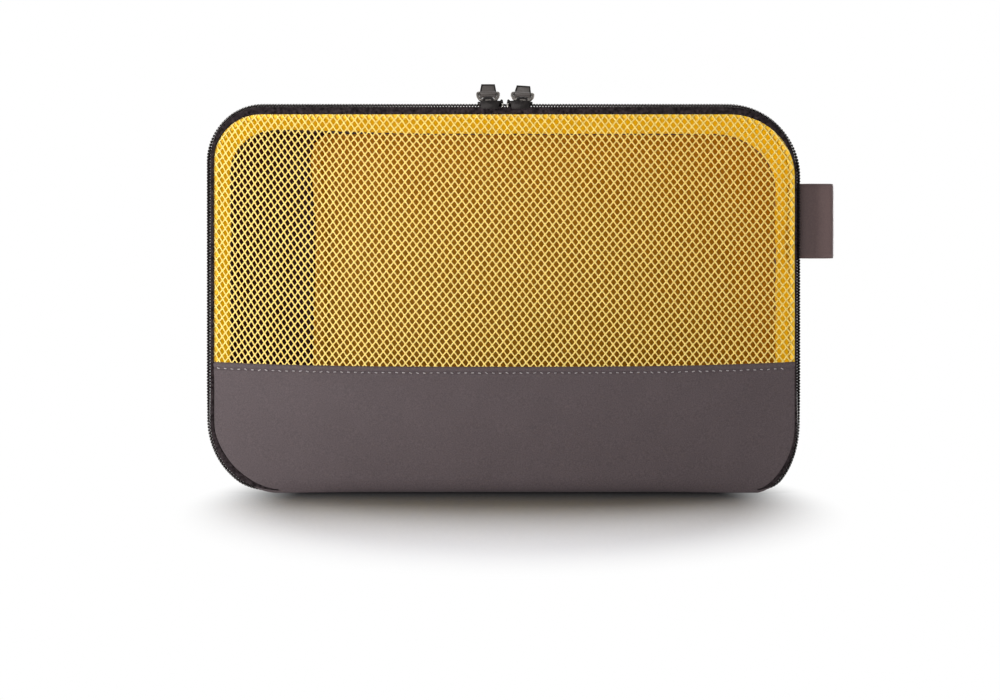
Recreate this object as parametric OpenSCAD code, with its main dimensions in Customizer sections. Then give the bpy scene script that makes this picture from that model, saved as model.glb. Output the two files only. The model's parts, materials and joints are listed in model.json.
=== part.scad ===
// Packing cube: a soft zipped case with a mesh front that folds down on a cloth hinge.
// Millimetres. X runs to the right, the front faces -Y, Z is up, and the base rests on Z = 0.

/* [Case] */
// Width over the cloth, without the zip chain
case_w = 346; // [260:1:460]
// Height over the cloth, without the zip chain
case_h = 228; // [170:1:320]
// Depth from the face of the front zip tape to the back
case_d = 76; // [56:1:140]
// Corner radius seen from the front
corner_r = 38; // [28:1:55]
// Thickness of the nylon cloth
cloth_t = 1.2; // [0.8:0.1:1.8]
// Thickness of the doubled base panel
base_t = 2; // [1.6:0.1:2.6]
// Radius of the rolled cloth fold that the lid hinges on
fold_r = 2.7; // [2:0.1:4]
// Height of the fold's axis above its own radius
fold_lift = 0.5; // [0.3:0.1:0.8]

/* [Front lid] */
// Height of the lower panel's top edge at mid-width
hem_z = 74.8; // [50:0.1:110]
// How much higher that edge is at its two ends
hem_rise = 3; // [0:0.1:6]
// How sharply that edge bends up towards its ends
hem_bend = 3; // [1:0.5:6]
// Height of the folded hem
hem_w = 7; // [5:0.1:12]
// Distance from the hem's top edge to the joint of net and panel behind it
joint_drop = 3.5; // [2:0.1:4.5]
// Distance from the hem's top edge to its topstitch
stitch_drop = 3.9; // [2:0.1:4.4]
// Thickness of the net
net_t = 0.9; // [0.5:0.1:1.2]
// Width of one diamond of the net
net_pitch_x = 15.5; // [15:0.5:30]
// Height of one diamond of the net
net_pitch_z = 19.5; // [18:0.5:36]
// Width of a strand of the net
net_strand = 2; // [1.2:0.1:3]
// Plain edge of the net
net_edge = 3; // [1:0.1:8]
// Pitch of the topstitch
stitch_pitch = 3.9; // [2.5:0.1:6]
// Length of one visible stitch
stitch_l = 2.2; // [1:0.1:2.4]
// Thickness of the thread
thread_t = 0.5; // [0.3:0.05:0.8]

/* [Zip] */
// Thickness of the zip tape
tape_t = 0.8; // [0.5:0.1:1.2]
// Visible lid tape inside the case outline at the sides
tape_side = 1.8; // [1.4:0.1:4]
// Visible lid tape inside the case outline at the top
tape_top = 4.5; // [3:0.1:8]
// Distance from the front face to the coil
coil_setback = 3.4; // [2.6:0.1:6]
// Width of one coil
coil_w = 2.8; // [2:0.1:4]
// Height of the coil above its tape
coil_h = 2; // [1.4:0.1:3]
// Gap between the two coils
coil_gap = 1.4; // [1.2:0.1:2]
// Bare body tape between the coil and the gusset
tape_bare = 3.8; // [2.8:0.1:8]
// Lap of the body tape over the gusset
tape_lap = 4; // [2:0.1:8]
// How far round each bottom corner the chain runs, in degrees
zip_end = 64; // [40:1:65]
// How far the stops reach past the chain, in degrees
stop_turn = 4; // [2:0.5:4.5]
// Thickness of the seam binding
bind_t = 1.2; // [0.8:0.1:2]
// Width of the seam binding
bind_w = 7; // [4:0.1:10]

/* [Sliders] */
// Distance of each slider from mid-width
slider_x = 9; // [8:0.1:14]
// Length of a slider along the chain
slider_l = 14.5; // [12:0.1:15.5]
// Width of a slider across the chain
slider_w = 10; // [9.6:0.1:11]
// Corner radius of a slider
slider_r = 3; // [1:0.1:4]
// Thickness of a slider's plates
plate_t = 1.2; // [0.8:0.1:1.6]
// Length of the post that joins the plates
post_l = 5; // [3:0.1:7]
// Distance of the post from the slider's nose
post_in = 1.5; // [0.5:0.1:3]
// Radius of the lug that holds the pull
lug_r = 2; // [1.6:0.1:2.4]
// Length of the lug
lug_l = 6; // [4:0.1:8]
// Depth that the lug's round sinks into the plate
lug_sink = 0.3; // [0.1:0.1:0.6]

/* [Pulls] */
// Width of the wire ring
ring_w = 13.5; // [12:0.1:14.5]
// Height of the ring between its two bars
ring_h = 5.2; // [4.6:0.1:8]
// Radius of the ring's wire
wire_r = 0.85; // [0.6:0.05:1]
// Reach of the pull from its axis to its tip
pull_l = 10.4; // [9:0.1:24]
// Width of the pull tab at its tip
pull_tip_w = 8.3; // [6:0.1:12]
// Width of the pull tab where it holds the ring
pull_root_w = 10.4; // [7:0.1:11]
// Thickness of the pull tab
pull_t = 2.4; // [2.2:0.1:3]
// Corner radius of the pull tab
pull_r = 1; // [0.4:0.1:1.4]
// Depth of the pull tab's lip below the ring's bar
pull_lip = 0.6; // [0.4:0.1:1]
// Lean of the pulls behind upright, in degrees
pull_lean = 25; // [0:1:60]

/* [Side tab] */
// Height of the tab's lower edge
tab_z = 140.3; // [60:0.1:160]
// Height of the tab itself
tab_h = 44.3; // [20:0.1:60]
// Reach of the loop from its hinge line
tab_reach = 24; // [14:0.1:40]
// Thickness of the webbing
tab_t = 1.1; // [0.8:0.1:1.4]
// Half of the loop's thickness at its round end
tab_end_r = 4.2; // [3.6:0.1:6]
// Half of the loop's thickness at its seam
tab_root_r = 1.3; // [1:0.1:1.6]
// Half of the loop's opening next to its seam
tab_eye_r = 0.75; // [0.4:0.05:0.9]
// Width of the sewn-down tail
anchor_w = 5; // [3:0.1:8]
// Thickness of the sewn-down tail
anchor_t = 0.8; // [0.5:0.1:1.2]

/* [Inner pocket] */
// Distance of the pocket's free edge from the left side
pocket_x = 55; // [30:1:120]
// Corner radius at the top of the free edge
pocket_r = 12; // [6:0.5:25]
// Thickness of the pocket's cloth
pocket_t = 1; // [0.6:0.1:1.6]
// Width of the pocket's hem
pocket_hem_w = 8; // [4:0.1:14]

/* [Fits] */
// Gap between pieces that move past each other
clear = 0.3; // [0.2:0.05:0.4]
// Gap between sewn pieces that meet edge to edge
seam_gap = 0.1; // [0.05:0.05:0.2]
// Radial clearance of the ring in its lug
pin_clear = 0.08; // [0.04:0.01:0.1]

/* [Hidden] */
$fn = 96;

// Colours
grey = [0.40, 0.37, 0.37];
yellow = [0.98, 0.76, 0.10];
black = [0.13, 0.13, 0.14];
gunmetal = [0.30, 0.29, 0.28];
thread = [0.72, 0.70, 0.70];

// Centres of the round corners
corner_x = case_w / 2 - corner_r;

// How far a cut reaches past what it cuts
past = 1;

// Planes from front to back
front_y = -case_d / 2;
lap_y = front_y + tape_t;
lid_back_y = lap_y + max(cloth_t, net_t);
lid_coil_y0 = front_y + coil_setback;
lid_coil_y1 = lid_coil_y0 + coil_w;
body_coil_y0 = lid_coil_y1 + coil_gap;
body_coil_y1 = body_coil_y0 + coil_w;
chain_y = (lid_coil_y1 + body_coil_y0) / 2;
gusset_y0 = body_coil_y1 + tape_bare;
tape_end_y = gusset_y0 + tape_lap;
back_y = case_d / 2 - cloth_t;
pocket_y = back_y - pocket_t;

// Insets from the case outline
wall_in = tape_t + cloth_t;
lid_edge_in = tape_t + seam_gap;
pocket_in = wall_in + bind_t + seam_gap;

// The cloth hinge
hinge_y = front_y + fold_r;
hinge_z = fold_r + fold_lift;
fold_half_chord = sqrt(pow(fold_r, 2) - pow(hinge_z - base_t, 2));
lid_foot_z = hinge_z + fold_r + clear;

// The hem's half width and the straight steps that its edge is drawn in
hem_half = case_w / 2 - tape_side - seam_gap;
hem_steps = 24;

// Heights on a slider above the outside of the tape
slider_top = coil_h + clear + plate_t;
pull_axis = slider_top + lug_r - lug_sink;

// The side tab's hinge line
wall_x = case_w / 2 - tape_t;
tab_x = wall_x + anchor_t + clear + tab_root_r;
tab_y = tape_end_y + anchor_w / 2;

// Height of the hem's top edge at a distance x from mid-width
function hem_edge(x) = hem_z + hem_rise * pow(abs(x) / hem_half, hem_bend);

// Points along the hem's edge, a drop below it
function hem_line(drop) = [
    for (i = [0 : hem_steps])
        let (x = hem_half * (2 * i / hem_steps - 1))
        [x, hem_edge(x) - drop]
];

// Solid between two planes across the depth, from an outline in X and Z
module slab(y0, y1) {
    translate([0, y1, 0])
        rotate([90, 0, 0])
            linear_extrude(y1 - y0)
                children();
}

// Rectangle with round corners, from its lowest to its highest corner
module rounded(low, high, r) {
    translate([low[0] + r, low[1]])
        square([high[0] - low[0] - 2 * r, high[1] - low[1]]);
    translate([low[0], low[1] + r])
        square([high[0] - low[0], high[1] - low[1] - 2 * r]);
    for (x = [low[0] + r, high[0] - r], z = [low[1] + r, high[1] - r])
        translate([x, z])
            circle(r);
}

// The case seen from the front, drawn in by an inset all round
module outline(inset) {
    rounded(
        [-case_w / 2 + inset, inset],
        [case_w / 2 - inset, case_h - inset],
        corner_r - inset
    );
}

// The area inside the lid tape, drawn in by a further inset
module window(inset) {
    rounded(
        [-case_w / 2 + tape_side + inset, tape_side + inset],
        [case_w / 2 - tape_side - inset, case_h - tape_top - inset],
        corner_r - tape_side - inset
    );
}

// What lies past an angle round the two bottom corners
module below_corners(turn) {
    reach = 2 * corner_r;
    polygon([
        [-corner_x, corner_r],
        [-corner_x - reach * cos(turn), corner_r - reach * sin(turn)],
        [corner_x + reach * cos(turn), corner_r - reach * sin(turn)],
        [corner_x, corner_r]
    ]);
}

// A band along the zip's run, between two insets
module zip_run(outer, inner, turn) {
    difference() {
        outline(outer);
        outline(inner);
        below_corners(turn);
    }
}

// A short piece of the zip's run at both ends of the chain
module zip_ends(outer, inner, turn0, turn1) {
    intersection() {
        zip_run(outer, inner, turn1);
        below_corners(turn0);
    }
}

// Two circles joined by straight sides along their tangents
module belt(p0, r0, p1, r1) {
    run = norm(p1 - p0);
    heading = atan2(p1[1] - p0[1], p1[0] - p0[0]);
    tangent = acos((r0 - r1) / run);
    translate(p0)
        rotate(heading) {
            circle(r0);
            translate([run, 0])
                circle(r1);
            polygon([
                r0 * [cos(tangent), -sin(tangent)],
                [run, 0] + r1 * [cos(tangent), -sin(tangent)],
                [run, 0] + r1 * [cos(tangent), sin(tangent)],
                r0 * [cos(tangent), sin(tangent)]
            ]);
        }
}

// Back of the case
module back_panel() {
    color(grey)
        slab(back_y, case_d / 2)
            outline(tape_t);
}

// Left, top and right walls, with a lip behind the ends of the chain
module gusset_band() {
    color(yellow) {
        slab(gusset_y0, back_y)
            difference() {
                outline(tape_t);
                outline(wall_in);
                translate([-corner_x, -past])
                    square([2 * corner_x, corner_r]);
            }
        slab(body_coil_y0, gusset_y0)
            difference() {
                intersection() {
                    outline(tape_t);
                    below_corners(zip_end + 2 * stop_turn);
                }
                outline(wall_in);
                translate([-corner_x, -past])
                    square([2 * corner_x, corner_r]);
            }
    }
}

// Flat panel that the case stands on
module base_panel() {
    color(grey)
        translate([-corner_x, hinge_y - fold_half_chord, 0])
            cube([2 * corner_x, back_y - hinge_y + fold_half_chord, base_t]);
}

// Rolled cloth along the front bottom edge
module hinge_fold() {
    color(grey)
        difference() {
            translate([-corner_x, hinge_y, hinge_z])
                rotate([0, 90, 0])
                    cylinder(r = fold_r, h = 2 * corner_x);
            translate([-case_w / 2, front_y - past, base_t - fold_r])
                cube([case_w, 2 * (fold_r + past), fold_r]);
        }
}

// Zip tape on the case
module body_zip_tape() {
    color(black)
        slab(body_coil_y0, tape_end_y)
            zip_run(0, tape_t, zip_end + stop_turn);
}

// Coil on the case
module body_zip_chain() {
    color(black)
        slab(body_coil_y0, body_coil_y1)
            zip_run(-coil_h, 0, zip_end);
}

// Crimped stops at the ends of the case's coil
module body_zip_stops() {
    color(gunmetal)
        slab(body_coil_y0, body_coil_y1)
            zip_ends(-coil_h, 0, zip_end, zip_end + stop_turn);
}

// Binding over the seam of walls and back
module back_seam_binding() {
    color(yellow)
        slab(back_y - bind_w, back_y)
            difference() {
                outline(wall_in);
                outline(wall_in + bind_t);
            }
}

// Flat pocket sewn to the back, open along its left edge
module inner_pocket() {
    edge_x = -case_w / 2 + pocket_x;
    top_z = case_h - pocket_in;
    color(yellow)
        slab(pocket_y, back_y)
            intersection() {
                outline(pocket_in);
                union() {
                    translate([edge_x, 0])
                        square([case_w, top_z - pocket_r]);
                    translate([edge_x + pocket_r, 0])
                        square([case_w, case_h]);
                    translate([edge_x + pocket_r, top_z - pocket_r])
                        circle(pocket_r);
                }
            }
}

// Hem along the pocket's free edge
module pocket_hem() {
    color(yellow)
        translate([-case_w / 2 + pocket_x, pocket_y - pocket_t, pocket_in])
            cube([pocket_hem_w, pocket_t, case_h - 2 * pocket_in - pocket_r]);
}

// Sewn-down tail of the side tab
module tab_anchor() {
    color(grey)
        translate([wall_x, tape_end_y, tab_z])
            cube([anchor_t, anchor_w, tab_h]);
}

// One gap of the net
module net_gap() {
    shrink = net_strand / 2 * norm([net_pitch_x, net_pitch_z]);
    half_x = (net_pitch_x - shrink * 2 / net_pitch_z) / 2;
    half_z = (net_pitch_z - shrink * 2 / net_pitch_x) / 2;
    polygon([[-half_x, 0], [0, -half_z], [half_x, 0], [0, half_z]]);
}

// Whether a gap at x, z stays inside the net's plain edge
function gap_fits(x, z) =
    let (
        reach_x = abs(x) + net_pitch_x / 2,
        side = case_w / 2 - tape_side - net_edge,
        top = case_h - tape_top - net_edge,
        r = corner_r - tape_side - net_edge,
        past_x = abs(x) - (side - r),
        past_z = z - (top - r)
    )
    reach_x < side
    && z + net_pitch_z / 2 < top
    && (past_x < 0 || past_z < 0 || norm([past_x + net_pitch_x / 2, past_z]) < r)
    && (past_x < 0 || past_z < 0 || norm([past_x, past_z + net_pitch_z / 2]) < r);

// Net of diamond gaps over the upper front
module front_mesh() {
    columns = floor(case_w / net_pitch_x);
    rows = floor(case_h / net_pitch_z);
    first_z = hem_z + hem_rise + net_edge + net_pitch_z / 2;
    color(yellow)
        slab(lap_y, lap_y + net_t)
            difference() {
                intersection() {
                    outline(lid_edge_in);
                    polygon(concat(
                        [[-case_w, case_h], [-case_w, hem_edge(hem_half) - joint_drop]],
                        hem_line(joint_drop),
                        [[case_w, hem_edge(hem_half) - joint_drop], [case_w, case_h]]
                    ));
                }
                for (i = [-columns : columns], j = [0 : 2 * rows])
                    if ((i + j) % 2 == 0) {
                        x = i * net_pitch_x / 2;
                        z = first_z + j * net_pitch_z / 2;
                        if (gap_fits(x, z))
                            translate([x, z])
                                net_gap();
                    }
            }
}

// Plain cloth over the lower front
module lower_front_panel() {
    color(grey)
        slab(lap_y, lap_y + cloth_t)
            difference() {
                intersection() {
                    outline(lid_edge_in);
                    polygon(concat(
                        [[-case_w, -past], [-case_w, hem_edge(hem_half) - joint_drop]],
                        hem_line(joint_drop),
                        [[case_w, hem_edge(hem_half) - joint_drop], [case_w, -past]]
                    ));
                }
                translate([-corner_x - clear, -past])
                    square([2 * (corner_x + clear), lid_foot_z + past]);
            }
}

// Folded hem that covers the joint of net and panel
module panel_hem() {
    top_edge = hem_line(0);
    low_edge = hem_line(hem_w);
    color(grey)
        slab(lap_y - cloth_t, lap_y)
            polygon(concat(top_edge, [for (i = [hem_steps : -1 : 0]) low_edge[i]]));
}

// Stitches along the hem
module panel_topstitch() {
    count = floor(hem_half / stitch_pitch) - 1;
    color(thread)
        for (i = [-count : count]) {
            x = i * stitch_pitch;
            translate([x - stitch_l / 2, lap_y - cloth_t - thread_t, hem_edge(x) - stitch_drop])
                cube([stitch_l, thread_t, thread_t]);
        }
}

// Zip tape on the lid, turned round the front edge
module lid_zip_tape() {
    color(black) {
        slab(front_y, lid_coil_y1)
            zip_run(0, tape_t, zip_end + stop_turn);
        slab(front_y, lap_y)
            difference() {
                outline(tape_t);
                window(0);
                below_corners(zip_end + stop_turn);
            }
    }
}

// Coil on the lid
module lid_zip_chain() {
    color(black)
        slab(lid_coil_y0, lid_coil_y1)
            zip_run(-coil_h, 0, zip_end);
}

// Crimped stops at the ends of the lid's coil
module lid_zip_stops() {
    color(gunmetal)
        slab(lid_coil_y0, lid_coil_y1)
            zip_ends(-coil_h, 0, zip_end, zip_end + stop_turn);
}

// Binding over the seam inside the lid
module lid_seam_binding() {
    color(yellow)
        slab(lid_back_y, lid_back_y + bind_w)
            difference() {
                window(0);
                window(bind_t);
                below_corners(zip_end);
            }
}

// A slider, with its nose towards mid-width on the side that side names
module slider(side) {
    coil_out = coil_gap / 2 + coil_w;
    flange_y = coil_out + clear;
    under_w = slider_w - plate_t;
    post_x = side * (slider_l / 2 - post_in - post_l);
    color(gunmetal)
        translate([-side * slider_x, chain_y, case_h])
            difference() {
                union() {
                    translate([0, 0, coil_h + clear])
                        linear_extrude(plate_t)
                            rounded([-slider_l / 2, -slider_w / 2], [slider_l / 2, slider_w / 2], slider_r);
                    translate([0, 0, -tape_t - clear - plate_t])
                        linear_extrude(plate_t)
                            rounded([-slider_l / 2, -under_w / 2], [slider_l / 2, under_w / 2], slider_r);
                    translate([min(post_x, post_x + side * post_l), -coil_gap / 2 + clear, -tape_t - clear])
                        cube([post_l, coil_gap - 2 * clear, tape_t + coil_h + 2 * clear]);
                    translate([-slider_l / 2 + slider_r, flange_y, clear])
                        cube([slider_l - 2 * slider_r, slider_w / 2 - flange_y, coil_h]);
                    translate([-lug_l / 2, 0, pull_axis])
                        rotate([0, 90, 0])
                            cylinder(r = lug_r, h = lug_l);
                    translate([-lug_l / 2, -lug_r, coil_h + clear])
                        cube([lug_l, 2 * lug_r, pull_axis - coil_h - clear]);
                }
                translate([-slider_l, 0, pull_axis])
                    rotate([0, 90, 0])
                        cylinder(r = wire_r + pin_clear, h = 2 * slider_l);
            }
}

module left_slider() {
    slider(1);
}

module right_slider() {
    slider(-1);
}

// Places a pull, drawn upright on its axis, on the slider at x
module on_slider(x) {
    translate([x, chain_y, case_h + pull_axis])
        rotate([-pull_lean, 0, 0])
            children();
}

// Wire ring through the slider's lug
module pull_ring() {
    half = ring_w / 2 - wire_r;
    for (z = [0, ring_h])
        translate([-half, 0, z])
            rotate([0, 90, 0])
                cylinder(r = wire_r, h = 2 * half);
    for (x = [-half, half]) {
        translate([x, 0, 0])
            cylinder(r = wire_r, h = ring_h);
        for (z = [0, ring_h])
            translate([x, 0, z])
                sphere(wire_r);
    }
}

// Moulded tab round the ring's upper bar
module pull_tab() {
    root_z = ring_h - wire_r - pull_lip;
    tip = pull_tip_w / 2 - pull_r;
    root = pull_root_w / 2 - pull_r;
    points = [
        [-root, root_z + pull_r],
        [root, root_z + pull_r],
        [tip, pull_l - pull_r],
        [-tip, pull_l - pull_r]
    ];
    difference() {
        slab(-pull_t / 2, pull_t / 2) {
            polygon(points);
            for (i = [0 : 3])
                belt(points[i], pull_r, points[(i + 1) % 4], pull_r);
        }
        translate([-ring_w, 0, ring_h])
            rotate([0, 90, 0])
                cylinder(r = wire_r, h = 2 * ring_w);
    }
}

module left_pull_ring() {
    color(gunmetal)
        on_slider(-slider_x)
            pull_ring();
}

module right_pull_ring() {
    color(gunmetal)
        on_slider(slider_x)
            pull_ring();
}

module left_pull_tab() {
    color(gunmetal)
        on_slider(-slider_x)
            pull_tab();
}

module right_pull_tab() {
    color(gunmetal)
        on_slider(slider_x)
            pull_tab();
}

// Folded loop of webbing at the right side
module side_tab() {
    end_x = tab_reach - tab_end_r;
    color(grey)
        translate([tab_x, tab_y, tab_z])
            linear_extrude(tab_h)
                difference() {
                    belt([0, 0], tab_root_r, [end_x, 0], tab_end_r);
                    belt([tab_root_r + tab_t, 0], tab_eye_r, [end_x, 0], tab_end_r - tab_t);
                }
}

back_panel();
gusset_band();
base_panel();
hinge_fold();
body_zip_tape();
body_zip_chain();
body_zip_stops();
back_seam_binding();
inner_pocket();
pocket_hem();
tab_anchor();
front_mesh();
lower_front_panel();
panel_hem();
panel_topstitch();
lid_zip_tape();
lid_zip_chain();
lid_zip_stops();
lid_seam_binding();
left_slider();
right_slider();
left_pull_ring();
left_pull_tab();
right_pull_ring();
right_pull_tab();
side_tab();
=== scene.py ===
"""Looks of a packing cube: cloth, net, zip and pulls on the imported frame. Metres, Z up, front at -Y."""

import json
import math

import bpy
import numpy as np
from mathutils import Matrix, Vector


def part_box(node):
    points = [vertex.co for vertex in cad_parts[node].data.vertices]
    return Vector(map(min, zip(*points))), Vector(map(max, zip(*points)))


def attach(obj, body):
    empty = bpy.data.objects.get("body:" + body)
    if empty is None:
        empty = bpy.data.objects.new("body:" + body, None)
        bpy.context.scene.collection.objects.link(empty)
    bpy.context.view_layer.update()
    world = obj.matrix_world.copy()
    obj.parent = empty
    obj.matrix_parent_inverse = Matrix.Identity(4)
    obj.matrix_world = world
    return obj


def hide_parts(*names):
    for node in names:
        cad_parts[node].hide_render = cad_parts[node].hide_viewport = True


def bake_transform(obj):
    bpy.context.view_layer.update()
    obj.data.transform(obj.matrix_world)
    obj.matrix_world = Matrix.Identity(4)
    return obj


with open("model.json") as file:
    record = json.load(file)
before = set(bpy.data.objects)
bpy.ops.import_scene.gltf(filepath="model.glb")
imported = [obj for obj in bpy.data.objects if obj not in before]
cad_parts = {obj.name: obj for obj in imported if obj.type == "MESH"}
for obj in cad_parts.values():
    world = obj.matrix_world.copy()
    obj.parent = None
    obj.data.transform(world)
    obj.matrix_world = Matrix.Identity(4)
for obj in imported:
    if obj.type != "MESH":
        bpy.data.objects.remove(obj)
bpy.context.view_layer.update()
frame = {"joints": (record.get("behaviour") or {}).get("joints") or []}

MM = 0.001

# Places taken from the frame
tape_lo, tape_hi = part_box("lid_zip_tape")
lid_coil_lo, lid_coil_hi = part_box("lid_zip_chain")
body_coil_lo, body_coil_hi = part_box("body_zip_chain")
body_tape_lo, body_tape_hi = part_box("body_zip_tape")
back_lo, back_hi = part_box("back_panel")
pocket_lo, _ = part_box("inner_pocket")
tab_lo, tab_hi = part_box("side_tab")
anchor_lo, anchor_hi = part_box("tab_anchor")
joints = {j["name"]: j for j in frame["joints"]}
tab_root = joints["side_tab_swing"]["pos_m"]
# Both pulls swing on axes of this depth and height
pull_axis = joints["left_pull_swing"]["pos_m"]

HALF_W = tape_hi.x
TOP = tape_hi.z
FRONT = tape_lo.y
BACK = back_hi.y
COIL_H = lid_coil_hi.x - HALF_W
CHAIN_Y = (lid_coil_hi.y + body_coil_lo.y) / 2

# Corners of the soft outline as photographed: reach along the width and along the height
CORNERS = {"bl": (0.043, 0.0425), "tl": (0.030, 0.031), "tr": (0.040, 0.040), "br": (0.0265, 0.0405)}
# Share of a bottom corner's run that the zip leaves free
ZIP_FREE = 0.045
# Lengths over which the zip tucks under the cloth at its two ends
ZIP_TUCK_LEFT = 26 * MM
ZIP_TUCK_RIGHT = 17 * MM
# How far the back draws in from the outline; at the sides it spreads a little
BACK_DRAW_LEFT = -2.7 * MM
BACK_DRAW_RIGHT = -1.7 * MM
BACK_DRAW_TOP = 4.6 * MM
# How much less it draws in towards the top left corner, and how far left of the middle that change runs
BACK_DRAW_EASE = 2.8 * MM
BACK_EASE_FROM = 40 * MM
BACK_EASE_TO = 150 * MM
# How deep the folds of the back may go towards the painted-shade sheet inside it, and how softly they stop
# there
BACK_LEAST = back_lo.y + 0.35 * MM
BACK_SOFT = 0.5 * MM
# Spacing of the puckers along the walls' seams, and how far from a seam they are deepest
PUCKER_PITCH = 9 * MM
PUCKER_REACH = 5 * MM

# Front cloth: height and squareness of its crown, and how far its edge lies behind the tape's face
CROWN = 4.2 * MM
CROWN_POWER = 2.6
PANEL_INSET = 0.5 * MM
# Width of lid tape that shows at the left, the right and the top, and its gain round the bottom corners
TAPE_LEFT = 2.3 * MM
TAPE_RIGHT = 1.4 * MM
TAPE_TOP = 4.5 * MM
TAPE_TURN = 1.3 * MM
# Top edge of the grey cloth: its height at mid-width and its rise at the sides
HEM_MID = 74.8 * MM
HEM_RISE = 3.0 * MM
# Section of the fold along that edge: drop below it and shift towards the back, in millimetres
HEM_FOLD = (
    (9, 1.7), (4, 1.6), (1, 1.4), (0.25, 0.9), (0, 0.2), (0.3, -0.35), (1.0, -0.6), (2.2, -0.65),
    (2.9, -0.5), (3.4, -0.1), (3.7, 0.1), (4.0, -0.1), (4.5, -0.45), (5.6, -0.5), (8, -0.3), (11, -0.1))
# Stitches along the fold
STITCH_DROP = 3.7 * MM
STITCH_PITCH = 4.05 * MM
STITCH_HALF = 0.55 * MM
STITCH_R = 0.28 * MM
# Roll of the grey cloth at the bottom, and where the cloth ends under the case
ROLL_H = 9 * MM
ROLL_D = 5 * MM
UNDER_Y = FRONT + 16 * MM
UNDER_Z = 0.3 * MM

# Net: cells, strands and slope of the rows
NET_W = 4.45 * MM
NET_H = 5.6 * MM
STRAND_W = 0.93 * MM
STRAND_T = 0.48 * MM
NET_SLOPE = math.radians(4)
# How far inside the outline it ends under the tape, and how far below the edge of the grey cloth
NET_TUCK_TAPE = 0.9 * MM
NET_TUCK_HEM = 4 * MM
# Place left of which the cells narrow and the rows steepen, and by how much
NET_EVEN_X = -45 * MM
NET_PULL = 0.15

# Zip
TOOTH_PITCH = 1.74 * MM
LID_TOOTH_W = 1.2 * MM
CASE_TOOTH_W = 1.84 * MM
# Length without teeth at each end, the place of the stops there, and how far tapes and teeth draw in
ZIP_BARE = 4 * MM
STOP_AT = 3.4 * MM
TAPE_TUCK = 1.6 * MM
TOOTH_TUCK = 1.8 * MM
# How far each coil stands out beyond the frame's coil at the top, and the change at the two sides
LID_COIL_OUT = 0.1 * MM
LID_COIL_SIDE = -1.5 * MM
CASE_COIL_OUT = 0.9 * MM
CASE_COIL_SIDE = 0.6 * MM
# How deep the feet of both coils go at the two sides
COIL_FOOT = 1.2 * MM

# Shortest and longest of the waves in soft cloth
RIPPLE_LENGTHS = (20 * MM, 90 * MM)


# Mesh helpers


def mesh_object(name, places, faces):
    """A smooth-shaded mesh object from an (n, 3) array of places and rows of corner numbers."""
    mesh = bpy.data.meshes.new(name)
    corners = np.asarray(places, float).reshape(-1, 3)
    mesh.from_pydata(corners.tolist(), [], [list(map(int, face)) for face in faces])
    mesh.polygons.foreach_set("use_smooth", np.ones(len(mesh.polygons), bool))
    mesh.update()
    made = bpy.data.objects.new(name, mesh)
    bpy.context.scene.collection.objects.link(made)
    return made


def grid_faces(rows, cols, wrap_rows=False, wrap_cols=False):
    """Quads of a grid of rows by cols places."""
    r = np.arange(rows if wrap_rows else rows - 1)[:, None]
    c = np.arange(cols if wrap_cols else cols - 1)[None, :]
    r1, c1 = (r + 1) % rows, (c + 1) % cols
    corners = [r * cols + c, r * cols + c1, r1 * cols + c1, r1 * cols + c]
    return np.stack(np.broadcast_arrays(*corners), -1).reshape(-1, 4)


def grid_object(name, places, wrap_rows=False, wrap_cols=False):
    """A mesh object from rows and columns of places."""
    rows, cols = places.shape[:2]
    return mesh_object(name, places, grid_faces(rows, cols, wrap_rows, wrap_cols))


def dress(made, material, body=None, replaces=()):
    """Give a mesh its material, the body that it rides on and the nodes that it stands for."""
    made.data.materials.append(material)
    if body:
        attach(made, body)
    if replaces:
        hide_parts(*replaces)
    return made


def smoothstep(low, high, value):
    """0 up to low, 1 from high on, and a smooth rise between."""
    t = np.clip((value - low) / (high - low), 0, 1)
    return t * t * (3 - 2 * t)


def full_turn(sides):
    """Even steps of angle round a circle."""
    return np.linspace(0, math.tau, sides, endpoint=False)


def ripple(a, b, seed, waves=5):
    """Soft irregular waves from -1 to 1 over two coordinates in metres."""
    rng = np.random.default_rng(seed)
    total = np.zeros(np.broadcast(a, b).shape)
    for _ in range(waves):
        length = rng.uniform(*RIPPLE_LENGTHS)
        turn = rng.uniform(0, math.tau)
        phase = rng.uniform(0, math.tau)
        total = total + np.sin((a * math.cos(turn) + b * math.sin(turn)) * math.tau / length + phase)
    return total / waves


def folds(a, b, seed, count, reach, width, length):
    """Heights, about -1 to 1, of short soft folds strewn over two coordinates in metres."""
    rng = np.random.default_rng(seed)
    total = np.zeros(np.broadcast(a, b).shape)
    for _ in range(count):
        da, db = a - rng.uniform(*reach[0]), b - rng.uniform(*reach[1])
        turn = rng.uniform(0, math.pi)
        across = da * math.cos(turn) + db * math.sin(turn)
        lengthways = db * math.cos(turn) - da * math.sin(turn)
        bulge = np.exp(-(across / rng.uniform(*width)) ** 2 - (lengthways / rng.uniform(*length)) ** 2)
        total = total + rng.choice((-1, 1)) * rng.uniform(0.4, 1) * bulge
    return total


# The outline of the case, seen from the front


def outline_table():
    """Places, outward normals and running lengths, clockwise from mid-base as seen from the front."""
    rows = [(0.0, 0.0, 0.0, -1.0)]
    for corner, left, low, first in (("bl", 1, 1, 270), ("tl", 1, 0, 180), ("tr", 0, 0, 90), ("br", 0, 1, 0)):
        rx, rz = CORNERS[corner]
        cx = rx - HALF_W if left else HALF_W - rx
        cz = rz if low else TOP - rz
        for angle in np.radians(np.linspace(first, first - 90, 61)):
            nx, nz = math.cos(angle) / rx, math.sin(angle) / rz
            size = math.hypot(nx, nz)
            rows.append((cx + rx * math.cos(angle), cz + rz * math.sin(angle), nx / size, nz / size))
    rows.append((0.0, 0.0, 0.0, -1.0))
    rows = np.array(rows)
    length = np.concatenate([[0], np.cumsum(np.hypot(np.diff(rows[:, 0]), np.diff(rows[:, 1])))])
    return rows, length


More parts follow.
